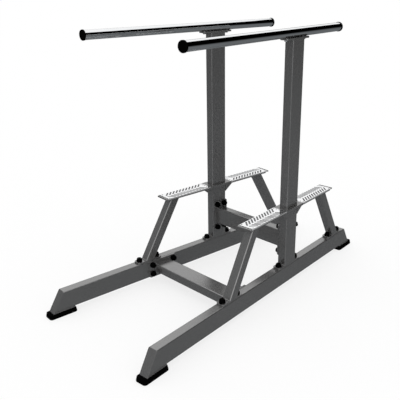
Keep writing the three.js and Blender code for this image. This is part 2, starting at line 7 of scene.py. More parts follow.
import bpy
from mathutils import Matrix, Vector


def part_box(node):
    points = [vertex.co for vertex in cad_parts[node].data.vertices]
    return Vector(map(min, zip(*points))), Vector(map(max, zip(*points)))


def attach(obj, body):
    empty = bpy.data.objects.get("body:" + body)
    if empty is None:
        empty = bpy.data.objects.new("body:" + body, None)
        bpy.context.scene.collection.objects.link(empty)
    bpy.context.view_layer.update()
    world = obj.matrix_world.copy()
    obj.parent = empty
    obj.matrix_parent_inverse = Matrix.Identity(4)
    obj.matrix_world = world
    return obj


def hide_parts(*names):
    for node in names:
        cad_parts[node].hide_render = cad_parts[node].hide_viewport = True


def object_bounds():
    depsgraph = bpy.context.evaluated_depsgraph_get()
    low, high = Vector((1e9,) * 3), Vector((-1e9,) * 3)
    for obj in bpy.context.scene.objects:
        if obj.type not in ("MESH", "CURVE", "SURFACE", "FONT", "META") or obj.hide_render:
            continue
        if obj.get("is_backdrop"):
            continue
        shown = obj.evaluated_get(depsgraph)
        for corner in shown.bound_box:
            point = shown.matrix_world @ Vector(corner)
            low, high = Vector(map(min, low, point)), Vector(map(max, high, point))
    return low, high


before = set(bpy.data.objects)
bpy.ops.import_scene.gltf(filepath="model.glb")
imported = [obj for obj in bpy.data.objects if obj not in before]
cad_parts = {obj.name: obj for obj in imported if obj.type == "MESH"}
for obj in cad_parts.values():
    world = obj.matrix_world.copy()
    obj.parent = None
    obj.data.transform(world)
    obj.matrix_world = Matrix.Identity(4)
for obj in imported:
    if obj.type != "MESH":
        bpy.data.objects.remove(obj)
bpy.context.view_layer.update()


# Rubber feet
# Each rail end stands on a moulded black rubber foot, a block with a low lip round its base. The
# foot is screwed to the pad above it.

FOOT_WIDTH = 0.064
FOOT_LENGTH = 0.150
FOOT_LIP = 0.005
FOOT_DRAW = 0.003
FOOT_CORNER = 0.014
FOOT_TOP_EDGE = 0.002
FOOT_BASE_EDGE = 0.001
CORNER_SEGMENTS = 5
EDGE_SEGMENTS = 3
SMOOTH_ANGLE = math.radians(32)
DULL_SPECULAR = 0.02

# Two places closer than NEAR are one, and a face looks along an axis when its normal passes FACING
NEAR = 0.00001
FACING = 0.5

# Each side's sign along X, and the turn that brings a piece drawn for the front to each end
SIDES = {"left": -1, "right": 1}
ENDS = {"front": 0.0, "rear": math.pi}


def middle(node):
    """The middle of a node's box."""
    low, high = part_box(node)
    return (low + high) / 2


# Each frame is turned by this angle, so that the two draw together to the rear
front_foot = middle("foot_front_right")
rear_foot = middle("foot_rear_right")
toe = math.atan2(front_foot.x - rear_foot.x, rear_foot.y - front_foot.y)


def select_only(piece):
    if bpy.context.object and bpy.context.object.mode != "OBJECT":
        bpy.ops.object.mode_set(mode="OBJECT")
    bpy.ops.object.select_all(action="DESELECT")
    piece.select_set(True)
    bpy.context.view_layer.objects.active = piece


def set_down(piece):
    """Writes the piece's place, turn and scale into its mesh."""
    select_only(piece)
    bpy.ops.object.transform_apply(location=True, rotation=True, scale=True)


def block(name, width, length, height, x=0.0, y=0.0, z=0.0):
    """A block whose underside is centred on the point."""
    bpy.ops.object.select_all(action="DESELECT")
    bpy.ops.mesh.primitive_cube_add(size=1, location=(x, y, z + height / 2))
    piece = bpy.context.object
    piece.name = name
    piece.scale = (width, length, height)
    set_down(piece)
    return piece


def pick_edges(piece, wanted):
    """Opens the piece in edit mode with the edges selected whose two ends pass the test."""
    select_only(piece)
    bpy.context.tool_settings.mesh_select_mode = (False, True, False)
    bpy.ops.object.mode_set(mode="EDIT")
    bpy.ops.mesh.select_all(action="DESELECT")
    bpy.ops.object.mode_set(mode="OBJECT")
    points = piece.data.vertices
    for edge in piece.data.edges:
        start, end = edge.vertices
        edge.select = wanted(points[start].co, points[end].co)
    bpy.ops.object.mode_set(mode="EDIT")


def pick_faces(piece, wanted):
    """Opens the piece in edit mode with the faces selected whose middle and normal pass the test."""
    select_only(piece)
    bpy.context.tool_settings.mesh_select_mode = (False, False, True)
    bpy.ops.object.mode_set(mode="EDIT")
    bpy.ops.mesh.select_all(action="DESELECT")
    bpy.ops.object.mode_set(mode="OBJECT")
    for face in piece.data.polygons:
        face.select = wanted(face.center, face.normal)
    bpy.ops.object.mode_set(mode="EDIT")


def draw_out(height):
    """Draws the picked flat face straight out, or into the piece where the height is negative."""
    # An inset of no width does what an extrusion does, and adds its walls in the same order each run
    bpy.ops.mesh.inset(thickness=0, depth=height)


def round_edges(piece, wanted, radius, segments=EDGE_SEGMENTS):
    pick_edges(piece, wanted)
    bpy.ops.mesh.bevel(offset=radius, segments=segments, affect="EDGES")
    bpy.ops.object.mode_set(mode="OBJECT")


def runs_along(axis):
    """A test for the edges that run along one axis, 0, 1 or 2."""
    others = [i for i in range(3) if i != axis]
    return lambda a, b: all(abs(a[i] - b[i]) < NEAR for i in others)


def lies_at(axis, place):
    """A test for the edges that lie at one place along an axis."""
    return lambda a, b: abs(a[axis] - place) < NEAR and abs(b[axis] - place) < NEAR


def faces_up(centre, normal):
    """A test for the faces that look upwards."""
    return normal.z > FACING


def copy_of(piece, name):
    select_only(piece)
    bpy.ops.object.duplicate(linked=False)
    twin = bpy.context.object
    twin.name = name
    return twin


def fit(piece, material, node):
    """Gives a finished piece its finish, and lets it stand for its node."""
    piece.data.name = piece.name
    piece.data.materials.clear()
    piece.data.materials.append(material)
    select_only(piece)
    bpy.ops.object.shade_smooth_by_angle(angle=SMOOTH_ANGLE)
    # The flat faces keep their own normals, and only the rounded edges between them turn
    shading = piece.modifiers.new("shading", "WEIGHTED_NORMAL")
    shading.keep_sharp = True
    bpy.ops.object.modifier_apply(modifier=shading.name)
    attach(piece, "root")
    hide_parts(node)


def grain_group():
    """Fine pebbling for a bump, and broad soft patches for colour and gloss, on the piece itself."""
    group = bpy.data.node_groups.new("Surface grain", "ShaderNodeTree")
    group.interface.new_socket(name="Pebble size", in_out="INPUT", socket_type="NodeSocketFloat")
    group.interface.new_socket(name="Patch size", in_out="INPUT", socket_type="NodeSocketFloat")
    group.interface.new_socket(name="Height", in_out="OUTPUT", socket_type="NodeSocketFloat")
    group.interface.new_socket(name="Patches", in_out="OUTPUT", socket_type="NodeSocketFloat")
    entry = group.nodes.new("NodeGroupInput")
    leave = group.nodes.new("NodeGroupOutput")
    place = group.nodes.new("ShaderNodeTexCoord")
    for size, result, detail in (("Pebble size", "Height", 1.0), ("Patch size", "Patches", 3.0)):
        scale = group.nodes.new("ShaderNodeMath")
        scale.operation = "DIVIDE"
        scale.inputs[0].default_value = 1.0
        noise = group.nodes.new("ShaderNodeTexNoise")
        noise.inputs["Detail"].default_value = detail
        group.links.new(entry.outputs[size], scale.inputs[1])
        group.links.new(scale.outputs[0], noise.inputs["Scale"])
        group.links.new(place.outputs["Object"], noise.inputs["Vector"])
        group.links.new(noise.outputs["Fac"], leave.inputs[result])
    return group


surface_grain = grain_group()


def grained(name, dark, light, matt, gloss, pebble, patch, bump):
    """A material whose colour, roughness and bump vary with the surface grain."""
    material = bpy.data.materials.new(name)
    material.use_nodes = True
    tree = material.node_tree
    shader = tree.nodes["Principled BSDF"]
    grain = tree.nodes.new("ShaderNodeGroup")
    grain.node_tree = surface_grain
    grain.inputs["Pebble size"].default_value = pebble
    grain.inputs["Patch size"].default_value = patch
    colour = tree.nodes.new("ShaderNodeMix")
    colour.data_type = "RGBA"
    colour.inputs["A"].default_value = (*dark, 1)
    colour.inputs["B"].default_value = (*light, 1)
    rough = tree.nodes.new("ShaderNodeMapRange")
    rough.inputs["To Min"].default_value = gloss
    rough.inputs["To Max"].default_value = matt
    relief = tree.nodes.new("ShaderNodeBump")
    relief.inputs["Strength"].default_value = bump
    relief.inputs["Distance"].default_value = pebble
    tree.links.new(grain.outputs["Patches"], colour.inputs["Factor"])
    tree.links.new(colour.outputs["Result"], shader.inputs["Base Color"])
    tree.links.new(grain.outputs["Patches"], rough.inputs["Value"])
    tree.links.new(rough.outputs["Result"], shader.inputs["Roughness"])
    tree.links.new(grain.outputs["Height"], relief.inputs["Height"])
    tree.links.new(relief.outputs["Normal"], shader.inputs["Normal"])
    return material, shader


black_rubber, shader = grained(
    "Black rubber", dark=(0.0004, 0.0004, 0.0004), light=(0.0012, 0.0012, 0.0012),
    matt=0.85, gloss=0.7, pebble=0.0008, patch=0.03, bump=0.15)
shader.inputs["Specular IOR Level"].default_value = DULL_SPECULAR


def moulded_foot(name):
    low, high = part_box("foot_front_right")
    foot = block(name, FOOT_WIDTH, FOOT_LENGTH, FOOT_LIP)
    round_edges(foot, runs_along(2), FOOT_CORNER, CORNER_SEGMENTS)
    pick_faces(foot, faces_up)
    draw_out(high.z - FOOT_LIP)
    taper = (1 - 2 * FOOT_DRAW / FOOT_WIDTH, 1 - 2 * FOOT_DRAW / FOOT_LENGTH, 1)
    bpy.ops.transform.resize(value=taper, center_override=(0, 0, high.z))
    bpy.ops.object.mode_set(mode="OBJECT")
    round_edges(foot, lies_at(2, high.z), FOOT_TOP_EDGE)
    round_edges(foot, lies_at(2, 0), FOOT_BASE_EDGE)
    return foot


foot_pattern = moulded_foot("foot_pattern")
for word, side in SIDES.items():
    for end in ENDS:
        node = f"foot_{end}_{word}"
        foot = copy_of(foot_pattern, f"moulded_{node}")
        foot.rotation_euler = (0, 0, side * toe)
        foot.location = (middle(node).x, middle(node).y, 0)
        set_down(foot)
        fit(foot, black_rubber, node)
bpy.data.objects.remove(foot_pattern)


# Rails
# A length of rectangular steel tube at each side, powder coated dark grey. Both ends are sawn to a
# lean, longer at the bottom, and closed with plates welded in and ground flush. A steel pad is
# welded under each end, and the foot is screwed to it.

TUBE_LONG = 0.100
TUBE_SHORT = 0.050
TUBE_CORNER = 0.006
RAIL_FRONT_REACH = 1.060
RAIL_REAR_REACH = 0.650
RAIL_END_LEAN = 0.060
GROUND_EDGE = 0.0012
PAD_THICKNESS = 0.006
PAD_INSET = 0.009
PAD_EDGE = 0.0006
PAD_SINK = TUBE_CORNER / 4
FINE_SEGMENTS = 2
COAT_IOR = 3.0

powder_coat, shader = grained(
    "Dark grey powder coat", dark=(0.0605, 0.0592, 0.0585), light=(0.0675, 0.0662, 0.0655),
    matt=0.27, gloss=0.22, pebble=0.0012, patch=0.25, bump=0.004)
shader.inputs["IOR"].default_value = COAT_IOR

# Where the right upright stands. A frame's pieces are drawn with that upright's middle at the origin
frame_x = middle("upright_right").x
frame_y = middle("upright_right").y


def both(first, second):
    """A test for the edges that pass two tests."""
    return lambda a, b: first(a, b) and second(a, b)


def joined(name, pieces):
    select_only(pieces[0])
    for piece in pieces:
        piece.select_set(True)
    bpy.ops.object.join()
    pieces[0].name = name
    return pieces[0]


def stand_in_frame(piece, side, turn=0.0):
    """Moves a piece drawn round the middle of an upright to its place in that frame."""
    piece.rotation_euler = (0, 0, side * toe + turn)
    piece.location = (side * frame_x, frame_y, 0)
    set_down(piece)


rail_low, rail_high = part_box("rail_right")
rail_length = RAIL_FRONT_REACH + RAIL_REAR_REACH + RAIL_END_LEAN
rail_front = -RAIL_FRONT_REACH - RAIL_END_LEAN / 2
rail_rear = RAIL_REAR_REACH + RAIL_END_LEAN / 2
rail_base = rail_low.z + PAD_THICKNESS
rail_pattern = block("rail_pattern", TUBE_SHORT, rail_length, TUBE_LONG,
                     y=(rail_front + rail_rear) / 2, z=rail_base)
for place, shift in ((rail_front, RAIL_END_LEAN), (rail_rear, -RAIL_END_LEAN)):
    pick_edges(rail_pattern, both(lies_at(1, place), lies_at(2, rail_high.z)))
    bpy.ops.transform.translate(value=(0, shift, 0))
round_edges(rail_pattern, runs_along(1), TUBE_CORNER, CORNER_SEGMENTS)
pick_faces(rail_pattern, lambda centre, normal: abs(normal.y) > FACING)
bpy.ops.mesh.region_to_loop()
bpy.ops.mesh.bevel(offset=GROUND_EDGE, segments=FINE_SEGMENTS, affect="EDGES")
bpy.ops.object.mode_set(mode="OBJECT")
rail_parts = [rail_pattern]
for node, rail_end in (("foot_front_right", rail_front), ("foot_rear_right", rail_rear)):
    way = math.copysign(1, rail_end)
    foot_middle = way * math.hypot(middle(node).x - frame_x, middle(node).y - frame_y)
    inner_end = foot_middle - way * (FOOT_LENGTH / 2 - PAD_INSET)
    slope = RAIL_END_LEAN / TUBE_LONG
    pad_top = rail_base + PAD_SINK
    top_end = rail_end - way * slope * (pad_top - rail_base)
    low_end = rail_end + way * slope * PAD_THICKNESS
    pad = block("pad", TUBE_SHORT, abs(top_end - inner_end), pad_top - rail_low.z,
                y=(top_end + inner_end) / 2, z=rail_low.z)
    pick_edges(pad, both(lies_at(1, top_end), lies_at(2, rail_low.z)))
    bpy.ops.transform.translate(value=(0, low_end - top_end, 0))
    round_edges(pad, lambda a, b: True, PAD_EDGE, FINE_SEGMENTS)
    rail_parts.append(pad)
rail_pattern = joined("rail_pattern", rail_parts)
for word, side in SIDES.items():
    rail = copy_of(rail_pattern, f"painted_rail_{word}")
    stand_in_frame(rail, side)
    fit(rail, powder_coat, f"rail_{word}")
bpy.data.objects.remove(rail_pattern)


# Uprights
# The same tube on end, with a plate welded on at the bottom that bolts to the rail, and one at the
# top that the bar lies on. The plates are as wide as the tube, so the weld runs at its two ends.

PLATE_THICKNESS = 0.008
PLATE_CORNER = 0.014
PLATE_EDGE = 0.0008
UPRIGHT_PLATE_LENGTH = 0.200
WELD_RADIUS = 0.0035
WELD_SINK = 0.001
WELD_VERTICES = 16


def rounded_plate(name, width, length, thickness, corner, y=0.0, z=0.0):
    """A flat plate with round corners and fine edges, whose underside is centred on the point."""
    plate = block(name, width, length, thickness, y=y, z=z)
    round_edges(plate, runs_along(2), corner, CORNER_SEGMENTS)
    for height in (z, z + thickness):
        round_edges(plate, lies_at(2, height), PLATE_EDGE, FINE_SEGMENTS)
    return plate


def weld_across(name, width, y, z):
    """A bead of weld along X, sunk into the corner that it fills."""
    bpy.ops.object.select_all(action="DESELECT")
    bpy.ops.mesh.primitive_cylinder_add(
        vertices=WELD_VERTICES, radius=WELD_RADIUS, depth=width, location=(0, y, z),
        rotation=(0, math.pi / 2, 0))
    bead = bpy.context.object
    bead.name = name
    set_down(bead)
    for x in (-width / 2, width / 2):
        round_edges(bead, lies_at(0, x), WELD_RADIUS / 2)
    return bead


upright_low, upright_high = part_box("upright_right")
shaft_low = upright_low.z + PLATE_THICKNESS
shaft_high = upright_high.z - PLATE_THICKNESS
shaft = block("upright_pattern", TUBE_SHORT, TUBE_LONG, shaft_high - shaft_low, z=shaft_low)
round_edges(shaft, runs_along(2), TUBE_CORNER, CORNER_SEGMENTS)
upright_parts = [shaft]
for height in (upright_low.z, shaft_high):
    upright_parts.append(rounded_plate(
        "upright_plate", TUBE_SHORT, UPRIGHT_PLATE_LENGTH, PLATE_THICKNESS, PLATE_CORNER, z=height))
for height in (shaft_low + WELD_SINK, shaft_high - WELD_SINK):
    for y in (-TUBE_LONG / 2, TUBE_LONG / 2):
        upright_parts.append(weld_across("upright_weld", TUBE_SHORT - 2 * TUBE_CORNER, y, height))
upright_pattern = joined("upright_pattern", upright_parts)
for word, side in SIDES.items():
    upright = copy_of(upright_pattern, f"painted_upright_{word}")
    stand_in_frame(upright, side)
    fit(upright, powder_coat, f"upright_{word}")
bpy.data.objects.remove(upright_pattern)


# Step legs
# A leg of square tube leans towards the upright under the outer end of each plank. It is sawn to
# the floor's angle at both ends, welded to a bolted foot plate, and closed by a thin plate on top.

LEG_SIZE = 0.050
LEG_REACH = 0.505
LEG_LEAN = math.radians(30)
LEG_PLATE_LENGTH = 0.156
LEG_HEAD_THICKNESS = 0.005

leg_low, leg_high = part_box("leg_front_right")
leg_base = leg_low.z + PLATE_THICKNESS
leg_top = leg_high.z - LEG_HEAD_THICKNESS
leg_depth = LEG_SIZE / math.cos(LEG_LEAN)
leg_shift = (leg_top - leg_base) * math.tan(LEG_LEAN)
leg_foot_shift = (leg_base - leg_low.z - PLATE_THICKNESS / 2) * math.tan(LEG_LEAN)
leg_start = -LEG_REACH + leg_foot_shift
leg_tube = block("leg_pattern", LEG_SIZE, leg_depth, leg_top - leg_base, y=leg_start, z=leg_base)
pick_faces(leg_tube, faces_up)
bpy.ops.transform.translate(value=(0, leg_shift, 0))
bpy.ops.object.mode_set(mode="OBJECT")
round_edges(leg_tube, lambda a, b: abs(a.z - b.z) > TUBE_CORNER, TUBE_CORNER, CORNER_SEGMENTS)
leg_head = leg_start + leg_shift
leg_parts = [
    leg_tube,
    rounded_plate("leg_plate", LEG_SIZE, LEG_PLATE_LENGTH, PLATE_THICKNESS, PLATE_CORNER,
                  y=-LEG_REACH, z=leg_low.z),
    rounded_plate("leg_head", LEG_SIZE, leg_depth, LEG_HEAD_THICKNESS, TUBE_CORNER,
                  y=leg_head, z=leg_top),
]
for y in (leg_start - leg_depth / 2, leg_start + leg_depth / 2):
    leg_parts.append(weld_across("leg_weld", LEG_SIZE - 2 * TUBE_CORNER, y, leg_base + WELD_SINK))
leg_pattern = joined("leg_pattern", leg_parts)
for word, side in SIDES.items():
    for end, turn in ENDS.items():
        leg = copy_of(leg_pattern, f"painted_leg_{end}_{word}")
        stand_in_frame(leg, side, turn)
        fit(leg, powder_coat, f"leg_{end}_{word}")
bpy.data.objects.remove(leg_pattern)


# Step brackets
# A flat plate goes round each upright, level with the planks, on four welded gussets. The gussets
# reach past it under the inner ends of the planks.

STEP_HEIGHT = 0.472
STEP_WIDTH = 0.086
STEP_DEPTH = 0.013
BRACKET_REACH = 0.080
SEAT_GAP = 0.0003
GUSSET_REACH = 0.106
GUSSET_TIP = 0.005
GUSSET_THICKNESS = 0.005
BRACKET_CORNER = 0.003


def cut(piece, cutter):
    """Takes the cutter's shape out of the piece, and throws the cutter away."""
    select_only(piece)
    taking = piece.modifiers.new("cut", "BOOLEAN")
    taking.operation = "DIFFERENCE"
    taking.solver = "EXACT"
    taking.object = cutter
    bpy.ops.object.modifier_apply(modifier=taking.name)
    bpy.data.objects.remove(cutter)


gusset_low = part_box("step_bracket_right")[0].z
deck_low = STEP_HEIGHT - STEP_DEPTH - SEAT_GAP
deck_thickness = STEP_HEIGHT - deck_low
deck = rounded_plate(
    "bracket_pattern", STEP_WIDTH, 2 * BRACKET_REACH, deck_thickness, BRACKET_CORNER, z=deck_low)
opening = block("opening", TUBE_SHORT + 2 * SEAT_GAP, TUBE_LONG + 2 * SEAT_GAP,
                3 * deck_thickness, z=deck_low - deck_thickness)
round_edges(opening, runs_along(2), TUBE_CORNER + SEAT_GAP, CORNER_SEGMENTS)
cut(deck, opening)
bracket_parts = [deck]
gusset_start = TUBE_LONG / 2 + SEAT_GAP
gusset_length = GUSSET_REACH - gusset_start
for way in (-1, 1):
    for x in (-1, 1):
        gusset = block("gusset", GUSSET_THICKNESS, gusset_length, deck_low - gusset_low,
                       x=x * (TUBE_SHORT - GUSSET_THICKNESS) / 2,
                       y=way * (gusset_start + gusset_length / 2), z=gusset_low)
        pick_edges(gusset, both(lies_at(1, way * GUSSET_REACH), lies_at(2, gusset_low)))
        bpy.ops.transform.translate(value=(0, 0, deck_low - GUSSET_TIP - gusset_low))
        round_edges(gusset, lambda a, b: not runs_along(0)(a, b), PLATE_EDGE, FINE_SEGMENTS)
        bracket_parts.append(gusset)
bracket_pattern = joined("bracket_pattern", bracket_parts)
for word, side in SIDES.items():
    bracket = copy_of(bracket_pattern, f"painted_step_bracket_{word}")
    stand_in_frame(bracket, side)
    fit(bracket, powder_coat, f"step_bracket_{word}")
bpy.data.objects.remove(bracket_pattern)


# Step planks
# A flat painted box under a tread of bright galvanised sheet on a dull tray, with a painted bar
# across its outer end. The tread is punched with slanted slots in pairs that point at the upright,
# and with a row of holes at each end. The planks lie on the legs and the gussets.

PLANK_OUTER_REACH = 0.394
PLANK_CORNER = 0.004
PLANK_EDGE = 0.002
END_BAR = 0.008
END_BAR_DEPTH = 0.008
END_BAR_ROUND = 0.003
BOX_SET_BACK = 0.022
TREAD_SHEET = 0.0015
TREAD_CORNER = 0.0035
TREAD_EDGE = 0.001
SHEET_GAP = SEAT_GAP / 3
TRAY_DEPTH = 0.007
TRAY_RIM = 0.003
TRAY_DROP = 0.0015
SLOT_PITCH = 0.0225
SLOT_WIDTH = 0.0083
SLOT_INNER = 0.0075
SLOT_OUTER = 0.0355
SLOT_START = 0.036
SLOT_MARGIN = 0.020
SLOT_ROLL = 0.0003
SLOT_SEGMENTS = 4
ROLL_STEPS = 2
HOLE_SIZE = 0.0075
HOLE_MARGIN = 0.0095
HOLE_EDGE = 0.008
HOLE_COUNT = 5
END_HOLE_WIDTH = 0.014
END_HOLE_LENGTH = 0.0085
END_HOLE_PITCH = 0.0164
END_HOLE_PLACE = 0.0121
PUNCH_LENGTH = 0.005
PUNCH_CLEARANCE = 0.001
DULL_ZINC = (0.30, 0.30, 0.305)
# The bright tread's cut and folded edges, the walls of its slots and holes among them, are near black:
# painted shade that darkens the slots
PAINTED_SHADE_ZINC = (0.015, 0.015, 0.0155)
EDGE_ROUGHNESS = 0.5
STEEP = 0.35
NEARLY_FLAT = 0.75

bright_zinc, shader = grained(
    "Bright galvanised sheet", dark=(0.90, 0.905, 0.91), light=(0.97, 0.975, 0.98),
    matt=0.08, gloss=0.05, pebble=0.004, patch=0.05, bump=0.01)
shader.inputs["Metallic"].default_value = 1.0
dull_zinc, dull_shader = grained(
    "Dull zinc", dark=(0.18, 0.18, 0.182), light=(0.24, 0.24, 0.243),
    matt=0.6, gloss=0.5, pebble=0.002, patch=0.03, bump=0.05)


def edges_of_their_own(material, shader, colour):
    """Flat faces keep their finish, and the cut and folded edges get the colour given: near-black
    painted shade on the tread, dull zinc on the tray.

    Gives back the mask of the flat faces.
    """
    tree = material.node_tree
    place = tree.nodes.new("ShaderNodeTexCoord")
    split = tree.nodes.new("ShaderNodeSeparateXYZ")
    tilt = tree.nodes.new("ShaderNodeMath")
    tilt.operation = "ABSOLUTE"
    flat = tree.nodes.new("ShaderNodeMapRange")
    flat.inputs["From Min"].default_value = STEEP
    flat.inputs["From Max"].default_value = NEARLY_FLAT
    tree.links.new(place.outputs["Normal"], split.inputs["Vector"])
    tree.links.new(split.outputs["Z"], tilt.inputs[0])
    tree.links.new(tilt.outputs[0], flat.inputs["Value"])
    for socket, kind, edge in (
            ("Base Color", "RGBA", (*colour, 1)), ("Roughness", "FLOAT", EDGE_ROUGHNESS)):
        finish = tree.nodes.new("ShaderNodeMix")
        finish.data_type = kind
        finish.inputs["A"].default_value = edge
        tree.links.new(shader.inputs[socket].links[0].from_socket, finish.inputs["B"])
        tree.links.new(flat.outputs["Result"], finish.inputs["Factor"])
        tree.links.new(finish.outputs["Result"], shader.inputs[socket])
    return flat.outputs["Result"]


# The tread's edges take the near-black painted shade, so its slots and holes read dark
flat_faces = edges_of_their_own(bright_zinc, shader, PAINTED_SHADE_ZINC)
bright_zinc.node_tree.links.new(flat_faces, shader.inputs["Metallic"])
edges_of_their_own(dull_zinc, dull_shader, DULL_ZINC)

plank_outer = -PLANK_OUTER_REACH
plank_inner = -BRACKET_REACH - SEAT_GAP
plank_length = plank_inner - plank_outer
plank_low = STEP_HEIGHT - STEP_DEPTH
tread_outer = plank_outer + END_BAR
tread_length = plank_inner - tread_outer
tread_middle = (tread_outer + plank_inner) / 2
tread = block("tread_pattern", STEP_WIDTH, tread_length, TREAD_SHEET, y=tread_middle,
              z=STEP_HEIGHT - TREAD_SHEET)
round_edges(tread, runs_along(2), TREAD_CORNER, CORNER_SEGMENTS)
round_edges(tread, lies_at(2, STEP_HEIGHT), TREAD_EDGE)

run = SLOT_OUTER - SLOT_INNER
pairs = 1 + math.floor((plank_length - SLOT_START - SLOT_MARGIN - run) / SLOT_PITCH)
slot_length = run * math.sqrt(2) + SLOT_WIDTH


def rolled_punch(name):
    """A slot's cutter, which flares at the top as the rolled edge of the sheet does."""
    straight_top = STEP_HEIGHT - SLOT_ROLL
    punch = block(name, SLOT_WIDTH, slot_length, PUNCH_LENGTH, z=straight_top - PUNCH_LENGTH)
    round_edges(punch, runs_along(2), SLOT_WIDTH / 2 - NEAR, SLOT_SEGMENTS)
    pick_faces(punch, faces_up)
    spread = 0.0
    height = 0.0
    for i in range(1, ROLL_STEPS + 1):
        angle = math.pi / 2 * i / ROLL_STEPS
        wider = SLOT_ROLL * (1 - math.cos(angle))
        higher = SLOT_ROLL * math.sin(angle)
        growth = [(size + 2 * wider) / (size + 2 * spread) for size in (SLOT_WIDTH, slot_length)]
        draw_out(higher - height)
        bpy.ops.transform.resize(value=(*growth, 1), center_override=(0, 0, straight_top + higher))
        spread = wider
        height = higher
    draw_out(PUNCH_CLEARANCE)
    bpy.ops.object.mode_set(mode="OBJECT")
    return punch


punches = []
slot_punch = rolled_punch("slot_punch")
for i in range(pairs):
    for way in (-1, 1):
        punch = copy_of(slot_punch, "punch")
        punch.rotation_euler = (0, 0, -way * math.pi / 4)
        punch.location = (way * (SLOT_INNER + SLOT_OUTER) / 2,
                          plank_outer + SLOT_START + i * SLOT_PITCH + run / 2, 0)
        set_down(punch)
        punches.append(punch)
bpy.data.objects.remove(slot_punch)
punch_low = STEP_HEIGHT + PUNCH_CLEARANCE - PUNCH_LENGTH
for i in range(HOLE_COUNT):
    end_x = (i - (HOLE_COUNT - 1) / 2) * END_HOLE_PITCH
    punches.append(block("punch", END_HOLE_WIDTH, END_HOLE_LENGTH, PUNCH_LENGTH,
                         end_x, plank_outer + END_HOLE_PLACE, punch_low))
span = STEP_WIDTH - 2 * HOLE_EDGE
hole_pitch = span / (HOLE_COUNT - 1)
holes = [(-span / 2 + i * hole_pitch, plank_inner - HOLE_MARGIN) for i in range(HOLE_COUNT)]
for x in (-span / 2, span / 2):
    holes.append((x, plank_outer + HOLE_MARGIN + hole_pitch))
for x, y in holes:
    punches.append(block("punch", HOLE_SIZE, HOLE_SIZE, PUNCH_LENGTH, x, y, punch_low))
cut(tread, joined("punches", punches))
tray_top = STEP_HEIGHT - TREAD_SHEET - SHEET_GAP
tray_low = STEP_HEIGHT - TRAY_DEPTH
tray = block("tray_pattern", STEP_WIDTH, tread_length, tray_top - tray_low, y=tread_middle,
             z=tray_low)
round_edges(tray, runs_along(2), TREAD_CORNER, CORNER_SEGMENTS)
round_edges(tray, lies_at(2, tray_low), TREAD_EDGE)
pick_faces(tray, faces_up)
bpy.ops.mesh.inset(thickness=TRAY_RIM)
draw_out(-TRAY_DROP)
bpy.ops.object.mode_set(mode="OBJECT")
box_outer = plank_outer + BOX_SET_BACK
box = rounded_plate(
    "box_pattern", STEP_WIDTH - 2 * TREAD_EDGE, plank_inner - box_outer,
    tray_low - SHEET_GAP - plank_low, PLANK_EDGE, y=(box_outer + plank_inner) / 2, z=plank_low)
bar_low = STEP_HEIGHT - END_BAR_DEPTH
bar_inner = tread_outer - SEAT_GAP
end_bar = block("end_bar", STEP_WIDTH, bar_inner - plank_outer, END_BAR_DEPTH,
                y=(plank_outer + bar_inner) / 2, z=bar_low)
round_edges(end_bar, lambda a, b: runs_along(2)(a, b) and a.y < plank_outer + NEAR, PLANK_CORNER,
            CORNER_SEGMENTS)
round_edges(end_bar, lies_at(2, bar_low), PLATE_EDGE, FINE_SEGMENTS)
round_edges(
    end_bar, lambda a, b: lies_at(2, STEP_HEIGHT)(a, b) and not lies_at(1, bar_inner)(a, b),
    END_BAR_ROUND, CORNER_SEGMENTS)
box = joined("box_pattern", [box, end_bar])
for word, side in SIDES.items():
    for end, turn in ENDS.items():
        node = f"plank_{end}_{word}"
        for pattern, name, material, slot in (
                (tread, "punched_tread_of", bright_zinc, "plank_zinc"),
                (tray, "dull_tray_of", dull_zinc, "plank_zinc"),
                (box, "painted_box_of", powder_coat, "frame_paint")):
            piece = copy_of(pattern, f"{name}_{node}")
            stand_in_frame(piece, side, turn)
            fit(piece, material, node)
for pattern in (tread, tray, box):
    bpy.data.objects.remove(pattern)


# Crossmembers
# Two lengths of the same tube tie the frames together, the front one lying flat between the rails
# and the rear one on edge between the uprights. Their welded flanges are turned to the frames.

FRONT_CROSS_REACH = 0.428
FLANGE_LONG = 0.180
FLANGE_SHORT = 0.099
FLANGE_CORNER = 0.008
WELD_REACH = 0.004

flange_middle = TUBE_SHORT / 2 + SEAT_GAP + PLATE_THICKNESS / 2


def crossmember(node, y, depth, height, flange_length, flange_height):
    """The tube, its ends slanted to the frames, with a flange and its bead of weld at each end."""
    centre = middle(node)
    # Where the tube's middle line crosses the flange's middle plane, along the frame and from side
    # to side
    along = (y + math.sin(toe) * flange_middle) / math.cos(toe)
    reach = frame_x - math.cos(toe) * flange_middle - math.sin(toe) * along
    tube = block(f"painted_{node}", 2 * reach, depth, height, y=frame_y + y,
                 z=centre.z - height / 2)
    for way in (-1, 1):
        for edge_way in (-1, 1):
            edge_y = frame_y + y + edge_way * depth / 2
            pick_edges(tube, both(lies_at(0, way * reach), lies_at(1, edge_y)))
            slant = -way * edge_way * math.tan(toe) * depth / 2
            bpy.ops.transform.translate(value=(slant, 0, 0))
            bpy.ops.object.mode_set(mode="OBJECT")
    round_edges(tube, runs_along(0), TUBE_CORNER, CORNER_SEGMENTS)
    parts = [tube]
    for side in SIDES.values():
        flange = rounded_plate("flange", flange_length, flange_height, PLATE_THICKNESS,
                               FLANGE_CORNER, z=-PLATE_THICKNESS / 2)
        bead = rounded_plate("bead", depth + 2 * WELD_REACH, height + 2 * WELD_REACH, WELD_REACH,
                             TUBE_CORNER + WELD_REACH, z=PLATE_THICKNESS / 2)
        round_edges(bead, lies_at(2, PLATE_THICKNESS / 2 + WELD_REACH), WELD_REACH / 2)
        end = joined("flange", [flange, bead])
        end.rotation_euler = (math.pi / 2, 0, -side * math.pi / 2 + side * toe)
        end.location = (side * reach,
                        frame_y - math.sin(toe) * flange_middle + math.cos(toe) * along,
                        centre.z)
        set_down(end)
        parts.append(end)
    member = joined(f"painted_{node}", parts)
    fit(member, powder_coat, node)


